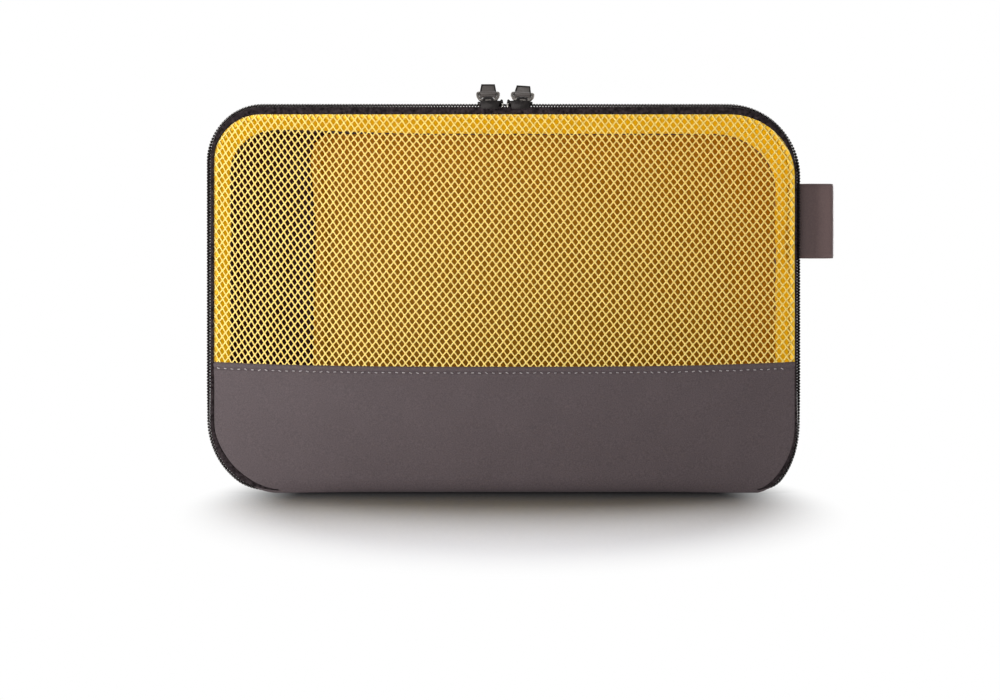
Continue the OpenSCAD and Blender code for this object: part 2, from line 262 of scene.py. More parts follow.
OUTLINE, RUN = outline_table()
FULL_RUN = RUN[-1]
BASE_LEFT = HALF_W - CORNERS["bl"][0]
BASE_RIGHT = HALF_W - CORNERS["br"][0]
ZIP_START = BASE_LEFT + ZIP_FREE * math.pi / 2 * sum(CORNERS["bl"]) / 2
ZIP_STOP = FULL_RUN - BASE_RIGHT - ZIP_FREE * math.pi / 2 * sum(CORNERS["br"]) / 2


def along(s):
    """x, z and outward normal of the outline at running lengths s."""
    return [np.interp(s, RUN, OUTLINE[:, i]) for i in range(4)]


def sweep(s, out, y):
    """Places of a band along the outline; out and y are profiles for each length in s, or one for all."""
    x, z, nx, nz = (v[:, None] for v in along(s))
    return np.stack(np.broadcast_arrays(x + nx * out, y, z + nz * out), -1)


def zip_taper(s):
    """1 along the zip, falling to 0 at both of its ends."""
    return smoothstep(0, ZIP_TUCK_LEFT, s - ZIP_START) * smoothstep(0, ZIP_TUCK_RIGHT, ZIP_STOP - s)


def tape_inset(s):
    """Width of lid tape that shows in front: more at the top and round the bottom corners."""
    nx, nz = along(s)[2:]
    side = np.where(nx < 0, TAPE_LEFT, TAPE_RIGHT)
    wide = side + (TAPE_TOP - side) * np.clip(nz, 0, 1) ** 1.5 + TAPE_TURN * smoothstep(0.05, 0.6, -nz)
    return wide * (0.2 + 0.8 * zip_taper(s))


def back_draw(s):
    """How far the back draws in from the outline."""
    x, _, nx, nz = along(s)
    side = np.where(nx < 0, BACK_DRAW_LEFT, BACK_DRAW_RIGHT)
    top = BACK_DRAW_TOP - BACK_DRAW_EASE * smoothstep(BACK_EASE_FROM, BACK_EASE_TO, -x)
    return side * nx**2 + top * np.clip(nz, 0, 1) ** 1.5


def hem_edge(x):
    """Height of the grey cloth's top edge."""
    return HEM_MID + HEM_RISE * np.abs(x / HALF_W) ** 3


def crown(x, z, half_w):
    """1 in the middle of the front or the back, falling to 0 at its edges."""
    u = np.clip(np.abs(x) / half_w, 0, 1) ** CROWN_POWER
    v = np.clip(np.abs(2 * z / TOP - 1), 0, 1) ** CROWN_POWER
    return (1 - u) * (1 - v)


def front_y(x, z):
    """Front face of the lid's cloth: a soft crown inside the tape, with slight folds."""
    rise = crown(x, z, HALF_W - 1 * MM)
    creases = folds(
        x, z, seed=41, count=30, reach=((-0.17, 0.17), (0, 0.08)), width=(0.004, 0.009), length=(0.015, 0.05))
    relief = 0.35 * rise * ripple(x, z, 3) + 0.22 * rise**0.5 * creases
    return FRONT + PANEL_INSET - CROWN * rise - MM * relief


# Materials


def new_material(name):
    """A material, its node tree, its shader and its output."""
    material = bpy.data.materials.new(name)
    material.use_nodes = True
    tree = material.node_tree
    tree.nodes.clear()
    output = tree.nodes.new("ShaderNodeOutputMaterial")
    shader = tree.nodes.new("ShaderNodeBsdfPrincipled")
    tree.links.new(shader.outputs[0], output.inputs["Surface"])
    return material, tree, shader, output


def linear(rgb):
    """Linear colour of an 8-bit sRGB one."""
    c = [v / 255 for v in rgb]
    return tuple(v / 12.92 if v <= 0.04045 else ((v + 0.055) / 1.055) ** 2.4 for v in c) + (1.0,)


def set_inputs(tree, made, inputs):
    """Set the inputs of a node, or link them where a socket is given."""
    for key, value in inputs.items():
        if isinstance(value, bpy.types.NodeSocket):
            tree.links.new(value, made.inputs[key])
        else:
            made.inputs[key].default_value = value


def node(tree, kind, inputs, **settings):
    """A shader node with its inputs and settings."""
    made = tree.nodes.new("ShaderNode" + kind)
    for key, value in settings.items():
        setattr(made, key, value)
    set_inputs(tree, made, inputs)
    return made


def math_node(tree, operation, a, b):
    return node(tree, "Math", {0: a, 1: b}, operation=operation).outputs[0]


def object_place(tree):
    return node(tree, "TexCoord", {}).outputs["Object"]


def noise_value(tree, place, scale, detail):
    return node(tree, "TexNoise", {"Vector": place, "Scale": scale, "Detail": detail}).outputs[0]


def bands(tree, place, direction, wavelength):
    """Wave bands of a given wavelength in metres, from a texture that has tau / 20 at scale 1."""
    inputs = {"Vector": place, "Scale": math.tau / 20 / wavelength, "Distortion": 0.6, "Detail": 1.0}
    return node(tree, "TexWave", inputs, wave_type="BANDS", bands_direction=direction).outputs[1]


def blend_colour(tree, factor, dark, light):
    """Colour between two 8-bit ones, by a factor that is mostly from 0.3 to 0.7."""
    ramp = node(tree, "ValToRGB", {0: factor})
    for element, place, colour in zip(ramp.color_ramp.elements, (0.3, 0.7), (dark, light)):
        element.position = place
        element.color = linear(colour)
    return ramp.outputs[0]


def bump(tree, height, strength, distance):
    return node(tree, "Bump", {"Height": height, "Strength": strength, "Distance": distance}).outputs[0]


def let_light_through(tree, shader, output, colour, share):
    """Thin cloth that glows when it is lit from behind."""
    through = node(tree, "BsdfTranslucent", {"Color": linear(colour)})
    mix = node(tree, "MixShader", {0: share, 1: shader.outputs[0], 2: through.outputs[0]})
    tree.links.new(mix.outputs[0], output.inputs["Surface"])


def cloth(name, dark, light, thread, roughness, sheen, across=("X", "Z"), strength=0.35, grain=1500.0,
          specular=0.3, glow=None):
    """Woven cloth: crossing threads, grain, slow changes of tone, a sheen, and a glow where it is thin."""
    material, tree, shader, output = new_material(name)
    place = object_place(tree)
    warp = bands(tree, place, across[0], thread)
    weft = bands(tree, place, across[1], thread)
    weave = math_node(tree, "MAXIMUM", warp, weft)
    tone = noise_value(tree, place, 38.0, 4.0)
    fine = noise_value(tree, place, grain, 2.0)
    mixed = node(tree, "Mix", {0: 0.15, 2: fine, 3: tone}).outputs[0]
    height = node(tree, "Math", {0: fine, 1: 0.5, 2: weave}, operation="MULTIPLY_ADD").outputs[0]
    set_inputs(tree, shader, {
        "Base Color": blend_colour(tree, mixed, dark, light),
        "Normal": bump(tree, height, strength, 0.15 * MM),
        "Roughness": roughness, "Specular IOR Level": specular,
        "Sheen Weight": sheen, "Sheen Roughness": 0.4,
    })
    if glow:
        let_light_through(tree, shader, output, *glow)
    return material


FINE_THREAD = 0.5 * MM
grey_cloth = cloth("grey_nylon", (80, 71, 73), (98, 87, 89), FINE_THREAD, 0.5, 0.08, specular=0.12)
base_cloth = cloth("grey_nylon_base", (84, 77, 78), (96, 88, 89), FINE_THREAD, 0.6, 0.15, ("X", "Y"))
yellow_cloth = cloth(
    "yellow_nylon", (210, 146, 0), (226, 162, 4), FINE_THREAD, 0.5, 0.02, ("Y", "Z"), specular=0.15,
    glow=((246, 184, 8), 0.3))
# Lid binding: the walls' yellow made lighter, painted light against the shade of the tape over it
lightened_binding_cloth = cloth("yellow_binding", (250, 194, 26), (255, 206, 40), FINE_THREAD, 0.5, 0.1)
# Pocket: a darker yellow than the walls, partly its own colour and partly painted shade from the lid and the
# net
pocket_cloth = cloth("pocket_nylon", (152, 102, 0), (168, 118, 2), FINE_THREAD, 0.5, 0.02, specular=0.15)
# Dark sheet inside the back and on the inner seam: its colour is painted shade of the grey back's inside
painted_shade_cloth = cloth("dark_lining", (49, 26, 20), (64, 36, 29), FINE_THREAD, 0.6, 0.02, specular=0.1)
tape_cloth = cloth(
    "zip_tape_weave", (12, 8, 9), (62, 54, 56), 0.8 * MM, 0.8, 0.0, strength=0.6, grain=640.0, specular=0.05)
webbing = cloth("tab_webbing", (111, 92, 91), (125, 104, 101), 0.7 * MM, 0.5, 0.25, ("Z", "X"), 0.3)


def thread_material(name, dark, light):
    """Twisted yarn: fine streaks and a fibrous bump."""
    material, tree, shader, _ = new_material(name)
    fine = noise_value(tree, object_place(tree), 900.0, 2.0)
    set_inputs(tree, shader, {
        "Base Color": blend_colour(tree, fine, dark, light),
        "Normal": bump(tree, fine, 0.5, 0.2 * MM),
        "Roughness": 0.6, "Sheen Weight": 0.2,
    })
    return material


net_yarn = thread_material("net_yarn", (255, 217, 104), (255, 231, 132))
stitch_thread = thread_material("grey_thread", (158, 151, 151), (194, 187, 187))
dark_thread = thread_material("dark_thread", (56, 52, 52), (84, 79, 79))
yellow_thread = thread_material("yellow_thread", (206, 140, 12), (232, 170, 30))


def hard_material(name, dark, light, metallic, roughness, scale=420.0, grain=0.15, specular=0.5):
    """Metal or plastic with a fine mottle in its tone, gloss and surface."""
    material, tree, shader, _ = new_material(name)
    mottle = noise_value(tree, object_place(tree), scale, 4.0)
    rough = node(tree, "MapRange", {0: mottle, 3: roughness - 0.08, 4: roughness + 0.1}).outputs[0]
    set_inputs(tree, shader, {
        "Base Color": blend_colour(tree, mottle, dark, light),
        "Normal": bump(tree, mottle, grain, 0.1 * MM),
        "Roughness": rough, "Metallic": metallic, "Specular IOR Level": specular,
    })
    return material


gunmetal = hard_material("gunmetal", (20, 17, 17), (36, 33, 32), 0.8, 0.3)
ring_steel = hard_material("ring_steel", (88, 84, 80), (118, 113, 108), 0.85, 0.28)
post_steel = hard_material("polished_steel", (138, 134, 130), (170, 166, 162), 0.9, 0.2)
# Darker colour of the pulls' rims, round their sides and ends
dark_rim_material = hard_material("pull_rim", (24, 22, 21), (38, 35, 34), 0.0, 0.5, 900.0, 0.2, 0.12)
pull_coat = hard_material("pull_coating", (68, 62, 59), (83, 77, 73), 0.0, 0.5, 900.0, 0.35)
coil_nylon = hard_material("coil_nylon", (24, 19, 19), (42, 36, 35), 0.0, 0.55, 900.0, specular=0.08)
# Lid row of teeth: the coil's nylon made lighter, a painted highlight on top of the real gloss
painted_highlight_nylon = hard_material("coil_bead_nylon", (62, 55, 54), (92, 84, 82), 0.0, 0.3, 900.0, specular=0.6)


# Cloth of the case


def gusset_out(s, y):
    """Outward offset of the yellow walls: slack between the seams, folded, and puckered along the seams."""
    depth = back_lo.y - body_coil_lo.y
    across = (y - body_coil_lo.y) / depth
    slack = 4 * across * (1 - across)
    creases = folds(
        s, y, seed=12, count=70, reach=((0.1, 0.95), (-0.03, 0.04)), width=(0.004, 0.01),
        length=(0.01, 0.035))
    nearest = np.minimum(across, 1 - across) * depth
    by_seam = np.exp(-((nearest - PUCKER_REACH) / PUCKER_REACH) ** 2)
    pucker = by_seam * np.sin(s * math.tau / PUCKER_PITCH + 3 * ripple(s, y, 14))
    out = -0.9 - 2.0 * slack + 0.7 * slack * ripple(s, y, 11) + 1.2 * slack**0.7 * creases + 0.3 * pucker
    return out * MM - back_draw(s) * np.clip(across, 0, 1) ** 1.2


def wall_gusset():
    """Yellow walls of the case."""
    s = np.arange(BASE_LEFT, FULL_RUN - BASE_RIGHT + 1e-6, 1.5 * MM)
    y = np.linspace(body_coil_lo.y, back_lo.y, 49)
    return grid_object("wall_gusset", sweep(s, gusset_out(s[:, None], y[None, :]), y))


def panel_disc(name, y_of, inset):
    """A panel that fills the outline, with rings of quads towards its middle."""
    s = np.linspace(0, FULL_RUN, 481)[:-1]
    x, z, nx, nz = along(s)
    inset = inset + back_draw(s)
    x, z = x - nx * inset, z - nz * inset
    spine = HALF_W - TOP / 2
    share = np.linspace(0, 1, 44)[:, None] ** 0.8
    px = x + (np.clip(x, -spine, spine) - x) * share
    pz = z + (TOP / 2 - z) * share
    return grid_object(name, np.stack([px, y_of(px, pz), pz], -1), wrap_cols=True)


def back_y(x, z):
    """Outer face of the back: crowned and folded, and clear of the painted-shade sheet inside it."""
    rise = crown(x, z, HALF_W)
    creases = folds(
        x, z, seed=43, count=55, reach=((-0.17, 0.17), (0, 0.23)), width=(0.005, 0.014), length=(0.02, 0.09))
    relief = 2.0 * rise + 1.0 * rise * ripple(x, z, 5, 6) + 1.5 * rise**0.5 * creases - 0.6
    over = BACK - BACK_LEAST + MM * relief
    return BACK_LEAST + 0.5 * (over + np.sqrt(over**2 + BACK_SOFT**2))


def shade_sheet_y(x, z):
    """Face of a dark sheet just inside the back, whose colour is painted shade of the case's inside."""
    return back_lo.y - MM * (0.25 + 0.1 * ripple(x, z, 6))


def base_sheet():
    """Grey base, just above the ground and all but flat."""
    x = np.linspace(-BASE_LEFT - 4 * MM, BASE_RIGHT + 4 * MM, 90)
    y = np.linspace(FRONT + 6 * MM, BACK - 1 * MM, 24)
    gx, gy = np.meshgrid(x, y)
    z = 0.7 * MM + 0.2 * MM * ripple(gx, gy, 21)
    return grid_object("base_sheet", np.stack([gx, gy, z], -1))


def seam_cord(name, y, out, radius):
    """A narrow rolled seam all round the outline, lifted clear of the ground along the base."""
    s = np.linspace(0, FULL_RUN, 560, endpoint=False)
    turn = full_turn(10)
    lift = (radius + out) * np.clip(-along(s)[3], 0, 1)
    out = (out - lift - back_draw(s))[:, None]
    places = sweep(s, out + radius * np.cos(turn), y + radius * np.sin(turn))
    return grid_object(name, places, wrap_rows=True, wrap_cols=True)


def inner_binding():
    """Binding over the seam of the walls and the back, inside the case."""
    s = np.arange(BASE_LEFT, FULL_RUN - BASE_RIGHT, 2 * MM)
    out = np.array([-1.6, -2.2, -5.0, -5.4]) * MM - back_draw(s)[:, None]
    y = back_lo.y - np.array([0.7, 0.5, 0.4, 0.1]) * MM
    return grid_object("inner_seam_binding", sweep(s, out, y))


gusset = dress(wall_gusset(), yellow_cloth, "case", ["gusset_band"])
back = dress(panel_disc("back_cloth", back_y, 1.0 * MM), grey_cloth, "case", ["back_panel"])
# Sheet of painted shade just inside the back
shade_sheet = dress(panel_disc("back_lining", shade_sheet_y, 2.2 * MM), painted_shade_cloth, "case")
base = dress(base_sheet(), base_cloth, "case", ["base_panel"])
back_roll = seam_cord("back_seam_roll", BACK - 1.3 * MM, -0.9 * MM, 1.5 * MM)
dress(back_roll, grey_cloth, "case")
# The inner seam binding wears the painted-shade colour too
dress(inner_binding(), painted_shade_cloth, "case", ["back_seam_binding"])


# Inner pocket

POCKET_INSET = 1.1 * MM
# Left edge of the pocket: heights, and places across the width
POCKET_EDGE_Z = np.array([3, 40, 78, 120, 165, 206, 216, 223]) * MM
POCKET_EDGE_X = np.array([-117, -119, -120, -119, -118.5, -122, -120, -112]) * MM


def pocket_right(z):
    """Right edge of the pocket at heights z, along the wall's seam with the back."""
    right = (OUTLINE[:, 0] > 0) & (OUTLINE[:, 2] > 0.01)
    x, seam_z, nx, nz = OUTLINE[right].T
    out = -POCKET_INSET - back_draw(RUN[right])
    return np.interp(z, (seam_z + nz * out)[::-1], (x + nx * out)[::-1])


def pocket_sheet():
    """Places of the yellow pocket on the back, open and a little slack along its left edge."""
    s = np.sin(np.linspace(0, math.pi / 2, 81))
    top = TOP - BACK_DRAW_TOP - POCKET_INSET
    z = pocket_lo.z + (top - pocket_lo.z) * s
    left = np.interp(z, POCKET_EDGE_Z, POCKET_EDGE_X)[:, None]
    right = pocket_right(z)[:, None]
    x = left + (right - left) * np.linspace(0, 1, 91) ** 1.15
    zz = np.broadcast_to(z[:, None], x.shape)
    loose = np.sin(math.pi * s)[:, None]
    slack = np.exp(-(x - left) / (40 * MM)) * loose
    y = back_lo.y - MM * (1.4 + 2.6 * slack + 0.5 * ripple(x, zz, 8) * loose)
    return np.stack([x, y, zz], -1)


pocket_places = pocket_sheet()
pocket = dress(
    grid_object("pocket_cloth", pocket_places), pocket_cloth, "case", ["inner_pocket"])


def pocket_hem_strip():
    """Doubled edge of the pocket, with a rounded fold."""
    x, y, z = pocket_places[:, 0].T[..., None]
    across = np.array([0.4, -0.6, -0.9, 0.2, 4, 7.6, 8.0]) * MM
    forward = np.array([0.5, 0.2, -0.4, -1.0, -1.0, -0.7, -0.1]) * MM
    inward = np.interp(across, [0, 8 * MM], [0, 0.3 * MM])
    places = np.stack(np.broadcast_arrays(x + across, y + forward + inward, z), -1)
    return grid_object("pocket_hem_fold", places)


# The pocket's fold wears the same partly painted-shade yellow
dress(pocket_hem_strip(), pocket_cloth, "case", ["pocket_hem"])


# Lid: grey lower cloth


def side_limits(z):
    """Left and right limits of the lid's cloth at heights z, along the inner edge of the tape."""
    limits = []
    for sign, tape, (rx, rz) in ((-1, TAPE_LEFT, CORNERS["bl"]), (1, TAPE_RIGHT, CORNERS["br"])):
        inset = (tape - 0.6 * MM) * smoothstep(1 * MM, 9 * MM, z)
        drop = np.clip((rz - z) / (rz - inset), 0, 1)
        limits.append(sign * (HALF_W - rx + (rx - inset) * np.sqrt(1 - drop**2)))
    return limits


def lower_front():
    """Grey cloth of the lid: folded over along its top edge, and rolled under at the bottom."""
    even = np.linspace(0, 1, 141)
    u = 0.5 * even + 0.25 * (1 - np.cos(math.pi * even))
    rows = []

    def row(z, y_shift, roll=0.0, fixed=None, follow_hem=0.0):
        left, right = side_limits(z)
        x = left + (right - left) * u
        zz = z + (hem_edge(x) - HEM_MID) * follow_hem
        fade = 0.25 + 0.75 * smoothstep(0, 60 * MM, np.minimum(x - left, right - x))
        y = front_y(x, np.maximum(zz, 0)) + y_shift + roll * fade
        if fixed is not None:
            y = np.maximum(y, fixed)
        rows.append(np.stack([x, y, zz], -1))

    for drop, shift in HEM_FOLD:
        row(HEM_MID - drop * MM, shift * MM, follow_hem=1.0)
    last_drop, last_shift = HEM_FOLD[-1]
    fold_end = HEM_MID - last_drop * MM
    for step in np.linspace(0, 1, 30)[1:]:
        z = fold_end + (ROLL_H - fold_end) * step
        row(z, last_shift * MM * (1 - step), follow_hem=(1 - step) ** 2)
    for angle in np.radians(np.linspace(0, 90, 13)[1:]):
        row(UNDER_Z + (ROLL_H - UNDER_Z) * (1 - math.sin(angle)), 0, ROLL_D * (1 - math.cos(angle)))
    for y in np.linspace(FRONT + ROLL_D + 2 * MM, UNDER_Y, 5):
        row(UNDER_Z, 0, ROLL_D, fixed=y)
    return grid_object("lower_front_cloth", np.array(rows))


lower = dress(lower_front(), grey_cloth, None, ["lower_front_panel", "panel_hem", "hinge_fold"])
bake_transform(lower)


def capsule(start, end, radius, normal=(0, -1, 0)):
    """Rings of places of a small round-ended bar."""
    start, end, normal = (np.array(v, float) for v in (start, end, normal))
    axis = (end - start) / np.linalg.norm(end - start)
    side = np.cross(axis, normal)
    side /= np.linalg.norm(side)
    up = np.cross(side, axis)
    turn = full_turn(6)
    ring = np.cos(turn)[:, None] * side + np.sin(turn)[:, None] * up
    profile = [(-1.0, 0.15), (-0.7, 0.7), (0.0, 1.0)]
    places = [start + axis * radius * a + ring * radius * b for a, b in profile]
    places += [end - axis * radius * a + ring * radius * b for a, b in reversed(profile)]
    return np.array(places)


def bars_object(name, bars):
    """One mesh of many small bars that all have the same rings."""
    bars = np.array(bars)
    count, rings, sides = bars.shape[:3]
    faces = grid_faces(rings, sides, wrap_cols=True)
    step = np.arange(count)[:, None, None] * rings * sides
    return mesh_object(name, bars, (faces[None] + step).reshape(-1, 4))


def hem_stitches():
    """Slightly uneven stitches along the fold of the grey cloth."""
    rng = np.random.default_rng(17)
    reach = HALF_W - 5 * MM
    bars = []
    for x in np.arange(-reach, reach, STITCH_PITCH):
        z = hem_edge(x) - STITCH_DROP + rng.uniform(-0.12, 0.12) * MM
        tilt = rng.uniform(-0.3, 0.2) * MM
        y = float(front_y(x, z)) - 0.3 * MM
        bars.append(capsule((x - STITCH_HALF, y, z - tilt), (x + STITCH_HALF, y, z + tilt), STITCH_R))
    return bars_object("hem_stitches", bars)


dress(hem_stitches(), stitch_thread, "lid", ["panel_topstitch"])


# Lid: net


def net_warp(a, b):
    """Lattice places to x and z: rows slope down to the right, more so at the left, where cells narrow."""
    pulled = NET_PULL * np.maximum(NET_EVEN_X - a, 0) ** 2 / (2 * (HALF_W + NET_EVEN_X))
    x = a + pulled + 0.45 * MM * ripple(a, b, 31)
    z = b - math.tan(NET_SLOPE) * a + pulled + 0.5 * MM * ripple(a, b, 32)
    return np.stack([x, z], -1)


def inside_net(x, z):
    """Positive inside the net's area, which reaches under the tape and the hem."""
    r = np.where(x < 0, CORNERS["tl"][0], CORNERS["tr"][0])
    dx = np.abs(x) - (HALF_W - r)
    dz = z - (TOP - r)
    out = np.hypot(np.maximum(dx, 0), np.maximum(dz, 0)) + np.minimum(np.maximum(dx, dz), 0) - r
    return np.minimum(-out - NET_TUCK_TAPE, z - hem_edge(x) + NET_TUCK_HEM)


def net_strands():
    """Both ends of every strand of the diamond net, trimmed to the net's area."""
    cols = int(2 * HALF_W / NET_W) + 8
    rows = int(TOP / NET_H) + 4
    i, j = np.meshgrid(np.arange(-cols, cols + 1), np.arange(2 * rows + 1), indexing="ij")
    knots = (i + j) % 2 == 0
    i, j = i[knots], j[knots]
    a = np.concatenate([net_warp(i * NET_W / 2, j * NET_H / 2)] * 2)
    b = np.concatenate([net_warp((i + 1) * NET_W / 2, (j + rise) * NET_H / 2) for rise in (1, -1)])
    a_in, b_in = inside_net(*a.T) > 0, inside_net(*b.T) > 0
    swap = ~a_in & b_in
    a[swap], b[swap] = b[swap], a[swap]
    a_in, b_in = a_in | swap, b_in & ~swap
    low, high = np.zeros(len(a)), np.ones(len(a))
    for _ in range(14):
        mid = (low + high) / 2
        held = inside_net(*(a + (b - a) * mid[:, None]).T) > 0
        low, high = np.where(held, mid, low), np.where(held, high, mid)
    b = np.where(b_in[:, None], b, a + (b - a) * low[:, None])
    keep = a_in & (np.hypot(*(b - a).T) > 0.4 * MM)
    return a[keep], b[keep]


def front_net():
    """Strands of the net, broader where they meet."""
    a, b = net_strands()
    along_strand = np.array([-0.06, 0.5, 1.06])
    width = STRAND_W / 2 * np.array([1.25, 0.86, 1.25])
    xz = a[:, None] + (b - a)[:, None] * along_strand[None, :, None]
    y = front_y(xz[..., 0], xz[..., 1]) + 0.35 * MM
    centre = np.stack([xz[..., 0], y, xz[..., 1]], -1)
    axis = (b - a) / np.linalg.norm(b - a, axis=1, keepdims=True)
    side = np.stack([axis[:, 1], np.zeros(len(a)), -axis[:, 0]], -1)
    turn = math.pi / 2 + full_turn(5)
    wide = np.cos(turn)[:, None] * side[:, None, None, :] * width[:, None, None]
    thick = np.sin(turn)[:, None] * np.array([0, STRAND_T / 2, 0])
    return bars_object("front_net", centre[:, :, None, :] + wide + thick)


net = dress(front_net(), net_yarn, "lid", ["front_mesh"])


# Zip


def lid_tape():
    """Black tape of the lid, turned round the front edge, its inner edge lapped over the cloth."""
    s = np.arange(ZIP_START, ZIP_STOP, 1.5 * MM)
    tuck = (1 - zip_taper(s))[:, None]
    share = np.array([1.0, 1.0, 0.9, 0.5, 0.22, 0.08, 0.0, 0.0, 0.0])
    out = -tape_inset(s)[:, None] * share - TAPE_TUCK * tuck
    y = FRONT + np.array([0.5, 0.0, -0.25, -0.35, -0.3, -0.05, 0.7, 2.6, 5.2]) * MM
    return grid_object("lid_tape", sweep(s, out, y + 0.4 * MM * tuck))


def body_tape():
    """Black tape of the case, sewn down on the gusset."""
    s = np.arange(ZIP_START, ZIP_STOP, 1.5 * MM)
    tuck = (1 - zip_taper(s))[:, None]
    out = np.array([-0.1, 0.0, 0.0, 0.0, 0.1, -0.2]) * MM - TAPE_TUCK * tuck
    y = np.linspace(body_tape_lo.y, body_tape_hi.y, 6)
    return grid_object("body_tape", sweep(s, out, y))


def tooth_row(name, y0, y1, shift, wide, tall, at_sides):
    """Rounded teeth of one coil, between two depths; at_sides is the change of their height at the sides."""
    turns = full_turn(12)
    square = [np.sign(f(turns)) * np.abs(f(turns)) ** 0.5 for f in (np.cos, np.sin)]
    steps = ((0.0, 0.45), (0.1, 0.9), (0.5, 1.0), (0.9, 0.9), (1.0, 0.45))
    bars = []
    for s in np.arange(ZIP_START + ZIP_BARE + shift, ZIP_STOP - ZIP_BARE, TOOTH_PITCH):
        x, z, nx, nz = (float(v) for v in along(s))
        taper = float(zip_taper(s))
        side = nx**8 * smoothstep(0.02, 0.07, z)
        tip = (tall + at_sides * side) * (0.5 + 0.5 * taper)
        foot = -COIL_FOOT * side
        middle = (tip + foot) / 2 - TOOTH_TUCK * (1 - taper)
        rings = []
        for share, grow in steps:
            out = middle + (tip - foot) / 2 * grow * square[0]
            away = wide / 2 * grow * square[1]
            y = np.full_like(out, y0 + (y1 - y0) * share)
            rings.append(np.stack([x + nx * out - nz * away, y, z + nz * out + nx * away], -1))
        bars.append(rings)
    return bars_object(name, bars)


def lid_binding():
    """Yellow binding over the lid's seam, inside the lid."""
    s = np.arange(ZIP_START + ZIP_TUCK_LEFT, ZIP_STOP - ZIP_TUCK_RIGHT, 2 * MM)
    out = -tape_inset(s)[:, None] - np.array([-0.8, 1.0, 2.4, 2.8]) * MM
    y = FRONT + np.array([1.1, 1.2, 1.5, 2.0]) * MM
    return grid_object("lid_inner_binding", sweep(s, out, y))


dress(lid_tape(), tape_cloth, "lid", ["lid_zip_tape"])
dress(body_tape(), tape_cloth, "case", ["body_zip_tape"])
lid_teeth = tooth_row(
    "lid_coil_teeth", lid_coil_lo.y - 0.3 * MM, CHAIN_Y + 0.4 * MM, 0.0,
    LID_TOOTH_W, COIL_H + LID_COIL_OUT, LID_COIL_SIDE)
# The lid's teeth wear the painted-highlight nylon
dress(lid_teeth, painted_highlight_nylon, "lid", ["lid_zip_chain"])
case_teeth = tooth_row(
    "case_coil_teeth", CHAIN_Y - 0.4 * MM, body_coil_hi.y + 0.3 * MM, TOOTH_PITCH / 2,
    CASE_TOOTH_W, COIL_H + CASE_COIL_OUT, CASE_COIL_SIDE)
dress(case_teeth, coil_nylon, "case", ["body_zip_chain"])
# The lid binding wears the lightened yellow, painted light
dress(lid_binding(), lightened_binding_cloth, "lid", ["lid_seam_binding"])


def seam_stitches(name, y, out_of, pitch, half, radius):
    """A row of stitches along the zip's run, at one depth."""
    bars = []
    for s in np.arange(ZIP_START + ZIP_TUCK_LEFT, ZIP_STOP - ZIP_TUCK_RIGHT, pitch):
        ends = np.array([s - half, s + half])
        x, z, nx, nz = along(ends)
        out = out_of(ends) + 0.1 * MM
        start, end = np.stack([x + nx * out, np.full(2, y), z + nz * out], -1)
        bars.append(capsule(start, end, radius, normal=(nx[0], 0, nz[0])))
    return bars_object(name, bars)


tape_stitches = seam_stitches(
    "tape_stitches", body_tape_hi.y - 1.5 * MM, lambda s: 0 * s,
    pitch=3.4 * MM, half=0.95 * MM, radius=0.22 * MM)
dress(tape_stitches, dark_thread, "case")
back_seam_y = back_lo.y - 4.5 * MM
back_stitches = seam_stitches(
    "back_stitches", back_seam_y, lambda s: gusset_out(s, back_seam_y),
    pitch=3.6 * MM, half=1.0 * MM, radius=0.25 * MM)
dress(back_stitches, yellow_thread, "case")


# Hard pieces


def bevelled(made, width):
    """Round off the sharp edges of a mesh."""
    modifier = made.modifiers.new("bevel", "BEVEL")
    modifier.width = width
    modifier.segments = 2
    modifier.limit_method = "ANGLE"
    modifier.angle_limit = math.radians(35)
    return made


def prism(points, low, high):
    """Places and faces of a plate: an outline in two coordinates, between two levels of a third."""
    n = len(points)
    places = [(a, b, low) for a, b in points] + [(a, b, high) for a, b in points]
    faces = [list(range(n))[::-1], list(range(n, 2 * n))]
    faces += [[i, (i + 1) % n, n + (i + 1) % n, n + i] for i in range(n)]
    return np.array(places, float), faces


def upright_plate(outline, front, rear):
    """A plate drawn in x and z, between two depths."""
    p, f = prism(outline, front, rear)
    return p[:, [0, 2, 1]], [face[::-1] for face in f]


def tube(path, radius, sides=10, closed=False):
    """Places and faces of a round wire along a path."""
    path = np.array(path, float)
    way = np.roll(path, -1, 0) - np.roll(path, 1, 0)
    if not closed:
        way[0], way[-1] = path[1] - path[0], path[-1] - path[-2]
    way /= np.linalg.norm(way, axis=1, keepdims=True)
    up = np.array([0.0, 1.0, 0.0])
    side = np.cross(way, up)
    side /= np.linalg.norm(side, axis=1, keepdims=True)
    turn = full_turn(sides)
    radius = np.broadcast_to(radius, (len(path),))[:, None, None]
    ring = np.cos(turn)[:, None] * side[:, None] + np.sin(turn)[:, None] * up
    places = (path[:, None] + radius * ring).reshape(-1, 3)
    return places, grid_faces(len(path), sides, wrap_rows=closed, wrap_cols=True).tolist()


def join(parts):
    """One set of places and faces from several."""
    places, faces, start = [], [], 0
    for p, f in parts:
        places.append(p)
        faces += [[i + start for i in face] for face in f]
        start += len(p)
    return np.concatenate(places), faces


def round_path(points, radius, steps, closed=True):
    """A path through points whose corners are rounded."""
    points = [np.array(p, float) for p in points]
    n = len(points)
    made = []
    for i in range(n):
        a, b, c = points[i - 1], points[i], points[(i + 1) % n]
        if not closed and i in (0, n - 1):
            made.append(b)
            continue
        u, v = (a - b) / np.linalg.norm(a - b), (c - b) / np.linalg.norm(c - b)
        start, end = b + u * radius, b + v * radius
        for t in np.linspace(0, 1, steps):
            made.append(start * (1 - t) ** 2 + 2 * b * t * (1 - t) + end * t**2)
    return made


def rectangle(left, right, low, high, radius, steps):
    """Outline of a rectangle with rounded corners."""
    return round_path([(left, low), (right, low), (right, high), (left, high)], radius, steps)


